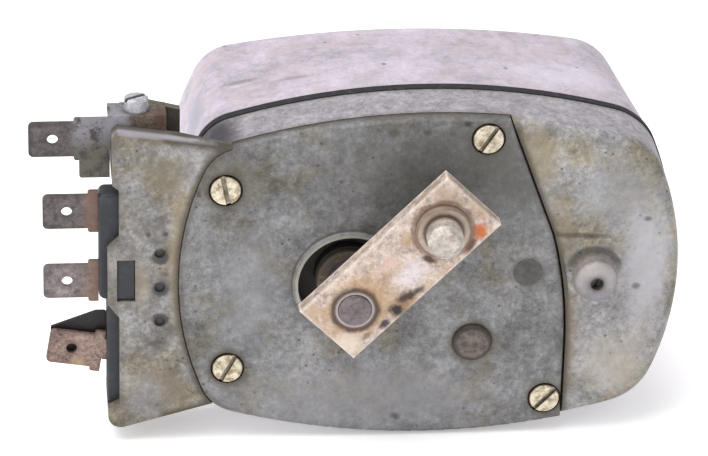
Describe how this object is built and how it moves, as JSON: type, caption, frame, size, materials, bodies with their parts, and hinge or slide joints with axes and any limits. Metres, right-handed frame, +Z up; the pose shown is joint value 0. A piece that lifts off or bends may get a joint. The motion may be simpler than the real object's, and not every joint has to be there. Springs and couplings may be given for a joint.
{
  "type": "wiper motor",
  "caption": "Electric wiper motor with an internal spur gear train, a flat crank arm on the output shaft and push-on terminals on a side bracket.",
  "frame": {"origin": "centre of the three-screw mounting circle on the rear cover's flat end face", "axes": "-Y towards the gear cover and crank arm, +Z up, +X towards the armature end, away from the terminals"},
  "size_m": [0.1127, 0.0589, 0.0629],
  "materials": {
    "diecast_front": "weathered matt die casting",
    "diecast_cover": "weathered matt die casting",
    "diecast_rear": "pale matt die casting",
    "paper": "oiled gasket paper",
    "gasket_rubber": "aged black rubber",
    "nickel_screw": "dull nickel plate",
    "zinc_screw": "dull zinc plate",
    "steel": "machined",
    "axle_steel": "dark oiled steel",
    "axle_brown": "browned steel",
    "shaft_steel": "ground",
    "spring_steel": "blued",
    "bronze": "oil-filled sintered bronze",
    "brass": "dull",
    "spring_brass": "dull rolled strip",
    "blade_brass": "oxidised brass strip",
    "blade_copper": "tarnished copper-coloured strip",
    "copper": "turned copper",
    "laminations": "varnished stack",
    "enamel_copper": "enamelled wire",
    "brown_board": "paper laminate",
    "carbon": "carbon",
    "black_moulding": "moulded phenolic",
    "fibre_gear": "woven fibre laminate",
    "plated_arm": "worn yellow-passivated zinc",
    "plated_pin": "worn zinc plate"
  },
  "bodies": {
    "housing": {"front_housing": "diecast_front", "gear_cover": "diecast_cover", "gear_cover_gasket": "paper", "gear_cover_screws": "nickel_screw", "body_gasket": "gasket_rubber", "rear_cover": "diecast_rear", "cover_bolts": "zinc_screw", "thrust_screw": "steel", "axle_1": "axle_steel", "axle_2": "axle_brown", "output_front_bush": "bronze", "output_rear_bush": "bronze", "park_finger_upper": "spring_brass", "park_finger_middle": "spring_brass", "armature_front_bush": "bronze", "armature_rear_bush": "bronze", "field_core": "laminations", "field_bobbin": "brown_board", "field_coil": "enamel_copper", "brush_plate": "brown_board", "brush_holders": "brass", "brushes": "carbon", "brush_springs": "spring_steel", "terminal_block": "black_moulding", "terminal_upper": "blade_brass", "terminal_middle": "blade_brass", "terminal_lower": "blade_copper", "earth_terminal": "blade_brass", "earth_screw": "zinc_screw"},
    "output": {"output_shaft": "shaft_steel", "output_gear": "fibre_gear", "output_washer": "steel", "output_clip": "spring_steel", "shaft_seal": "gasket_rubber", "park_disc": "brass", "crank_arm": "plated_arm", "crank_pin": "plated_pin"},
    "gear_1": {"gear_1_wheel": "fibre_gear", "gear_1_pinion": "steel"},
    "gear_2": {"gear_2_wheel": "fibre_gear", "gear_2_pinion": "steel"},
    "armature": {"armature_pinion": "steel", "armature_shaft": "shaft_steel", "armature_core": "laminations", "armature_winding": "enamel_copper", "commutator": "copper"}
  },
  "joints": [
    {"name": "output_spin", "type": "hinge", "parent": "housing", "child": "output", "pos_m": [-0.01394, -0.043, -0.00118], "axis": [0, -1, 0], "continuous": true},
    {"name": "gear_1_spin", "type": "hinge", "parent": "housing", "child": "gear_1", "pos_m": [0.017, -0.043, 0.0001], "axis": [0, -1, 0], "continuous": true},
    {"name": "gear_2_spin", "type": "hinge", "parent": "housing", "child": "gear_2", "pos_m": [0.00773, -0.043, -0.01324], "axis": [0, -1, 0], "continuous": true},
    {"name": "armature_spin", "type": "hinge", "parent": "housing", "child": "armature", "pos_m": [0.0284, -0.043, 0], "axis": [0, -1, 0], "continuous": true}
  ],
  "couplings": [
    {"joint": "gear_2_spin", "follows": "output_spin", "ratio": -4.1667},
    {"joint": "gear_1_spin", "follows": "output_spin", "ratio": 13.194},
    {"joint": "armature_spin", "follows": "output_spin", "ratio": -42.515}
  ]
}
